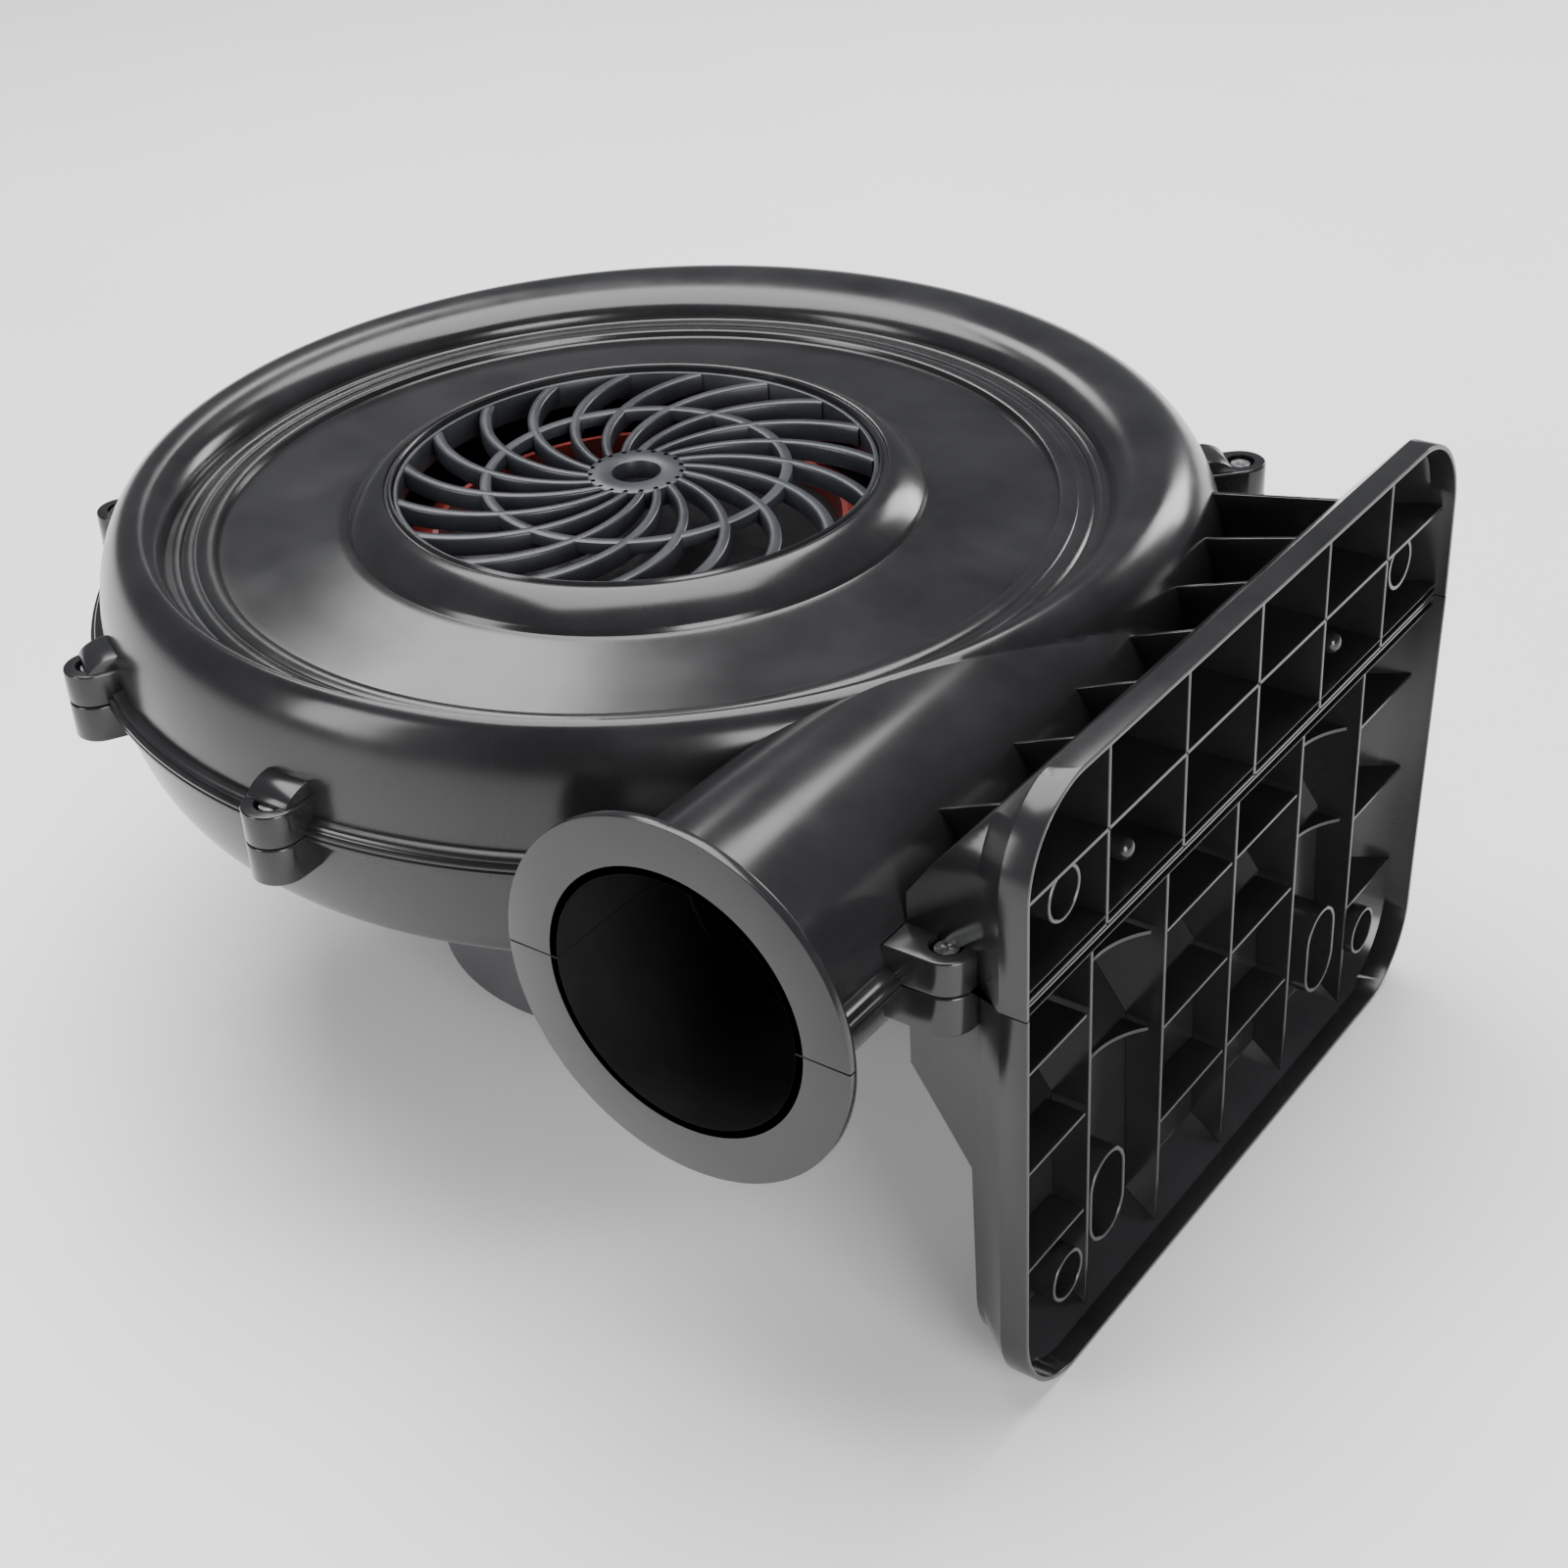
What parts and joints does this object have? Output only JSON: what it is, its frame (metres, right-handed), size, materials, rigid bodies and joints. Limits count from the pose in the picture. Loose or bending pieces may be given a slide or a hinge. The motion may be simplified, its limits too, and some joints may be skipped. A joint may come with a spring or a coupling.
{
  "type": "centrifugal blower",
  "caption": "Centrifugal air blower with a spiral intake grille, a round flanged side outlet, a motor cover below and a ribbed foot plate.",
  "frame": {"origin": "centre of the motor cover's flat end face, on the rotor axis", "axes": "+Z along the rotor axis towards the intake grille, +X towards the foot plate, -Y the way air leaves the outlet"},
  "size_m": [0.5542, 0.5126, 0.258],
  "materials": {
    "shell_plastic": "moulded black plastic, satin gloss",
    "grille_plastic": "moulded dark grey plastic, satin",
    "cover_plastic": "fine-textured dark grey plastic",
    "zinc_steel": "bright zinc plated",
    "black_rubber": "matte black rubber",
    "white_nylon": "natural nylon",
    "brass": "plain brass",
    "silicon_steel": "stacked sheet steel",
    "enamelled_copper": "enamelled copper wire, varnished",
    "cast_aluminium": "as cast",
    "bearing_steel": "ground steel",
    "shaft_steel": "turned steel",
    "capacitor_plastic": "black capacitor case",
    "fan_plastic": "black plastic",
    "impeller_plastic": "dark red moulded plastic"
  },
  "bodies": {
    "housing": {"upper_shell": "shell_plastic", "lower_shell": "shell_plastic", "intake_grille": "grille_plastic", "seam_screws": "zinc_steel", "seam_nuts": "zinc_steel", "motor_cover": "cover_plastic", "cover_screws": "zinc_steel", "cord_grommet": "black_rubber", "terminal_block": "white_nylon", "terminal_screws": "brass", "stator_core": "silicon_steel", "stator_windings": "enamelled_copper", "rear_bracket": "cast_aluminium", "front_bracket": "cast_aluminium", "motor_bolts": "zinc_steel", "motor_mount_screws": "zinc_steel", "rear_bearing_outer_race": "bearing_steel", "front_bearing_outer_race": "bearing_steel", "preload_washer": "bearing_steel", "shaft_seal": "black_rubber", "capacitor": "capacitor_plastic", "capacitor_bracket": "zinc_steel"},
    "rotor": {"motor_shaft": "shaft_steel", "rotor_core": "silicon_steel", "rotor_end_rings": "cast_aluminium", "cooling_fan": "fan_plastic", "impeller": "impeller_plastic", "impeller_shroud": "impeller_plastic", "impeller_insert": "cast_aluminium", "impeller_washer": "zinc_steel", "impeller_nut": "zinc_steel", "rear_bearing_inner_race": "bearing_steel", "front_bearing_inner_race": "bearing_steel"},
    "bearing_balls": {"rear_bearing_balls": "bearing_steel", "front_bearing_balls": "bearing_steel"}
  },
  "joints": [
    {"name": "rotor_spin", "type": "hinge", "parent": "housing", "child": "rotor", "pos_m": [0, 0, 0.137], "axis": [0, 0, 1], "continuous": true},
    {"name": "ball_orbit", "type": "hinge", "parent": "housing", "child": "bearing_balls", "pos_m": [0, 0, 0.032], "axis": [0, 0, 1], "continuous": true}
  ],
  "couplings": [
    {"joint": "ball_orbit", "follows": "rotor_spin", "ratio": 0.406}
  ]
}
